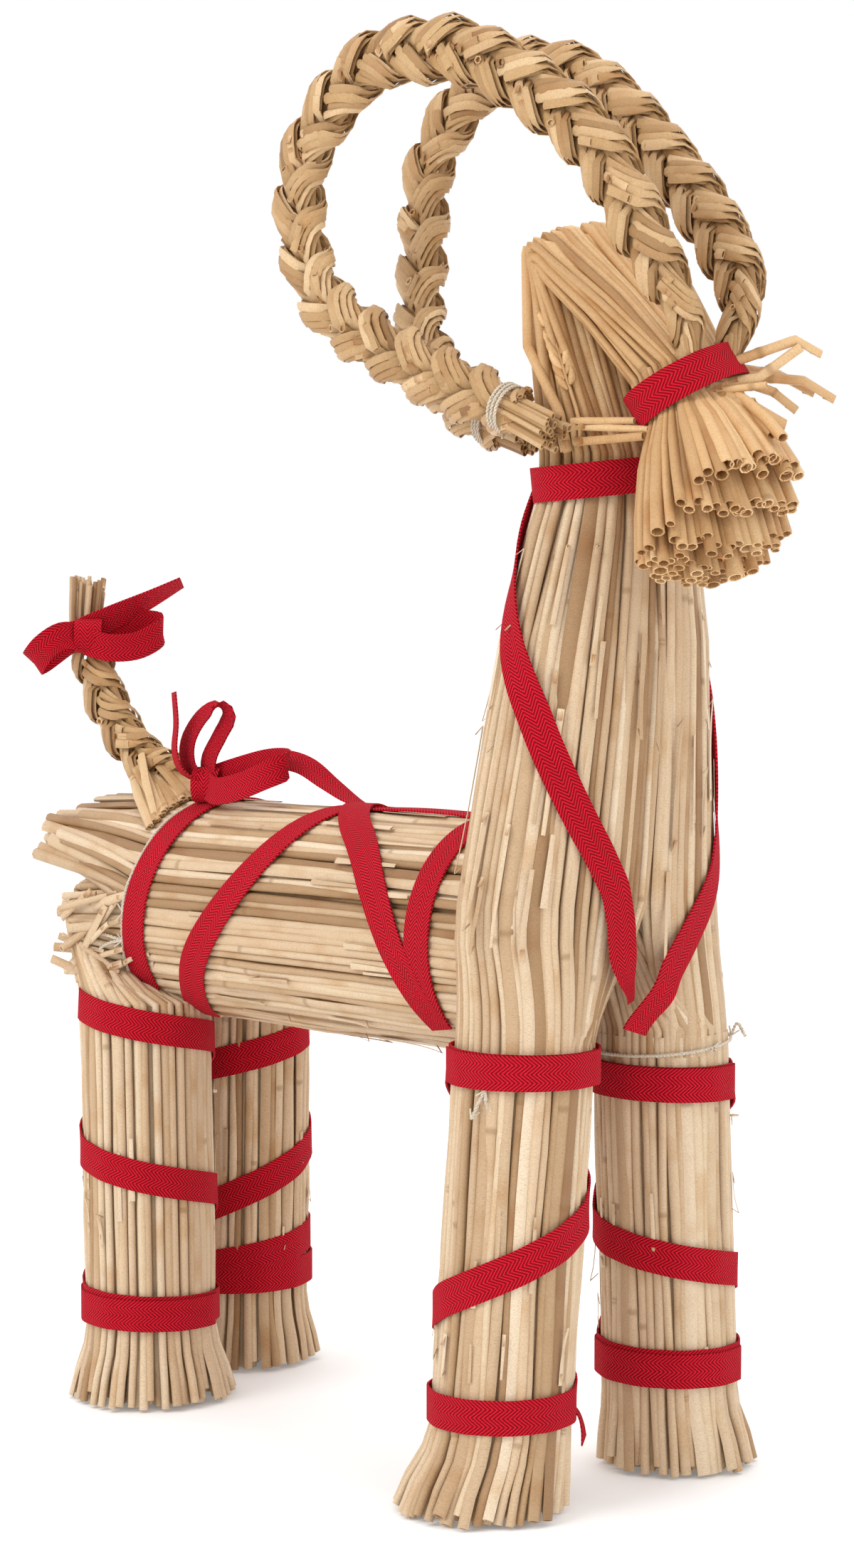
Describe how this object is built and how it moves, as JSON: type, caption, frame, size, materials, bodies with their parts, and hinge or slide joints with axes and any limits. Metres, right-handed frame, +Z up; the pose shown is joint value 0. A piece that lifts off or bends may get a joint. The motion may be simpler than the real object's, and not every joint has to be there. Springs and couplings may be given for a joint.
{
  "type": "straw yule goat",
  "caption": "Standing straw yule goat: bound bundles for body, chest and legs, plaited horns looped back over the neck, plaited tail, red tape windings and bows.",
  "frame": {"origin": "middle of the outline on the floor that the goat stands on", "axes": "+Z up, +X the way the goat looks, +Y to the goat's left"},
  "size_m": [0.485, 0.19, 0.6456],
  "materials": {
    "straw": "dry natural straw, lightly glossy",
    "plaited_straw": "flattened dry straw, matte",
    "red_tape": "matte cotton twill, herringbone weave",
    "string": "matte fuzzy cotton string"
  },
  "bodies": {
    "root": {"body_bundle": "straw", "chest_neck_and_head": "straw", "front_leg_left": "straw", "front_leg_right": "straw", "hind_leg_left": "straw", "hind_leg_right": "straw", "horn_left": "plaited_straw", "horn_right": "plaited_straw", "tail": "plaited_straw", "back_tape": "red_tape", "chest_tape_left": "red_tape", "chest_tape_right": "red_tape", "flank_tape_left": "red_tape", "flank_tape_right": "red_tape", "front_leg_left_tape": "red_tape", "front_leg_right_tape": "red_tape", "hind_leg_left_tape": "red_tape", "hind_leg_right_tape": "red_tape", "neck_tape": "red_tape", "rump_bow": "red_tape", "rump_tape": "red_tape", "shoulder_tape": "red_tape", "snout_tape": "red_tape", "tail_bow": "red_tape", "front_leg_string": "string", "horn_string": "string", "rump_string": "string"}
  },
  "joints": []
}
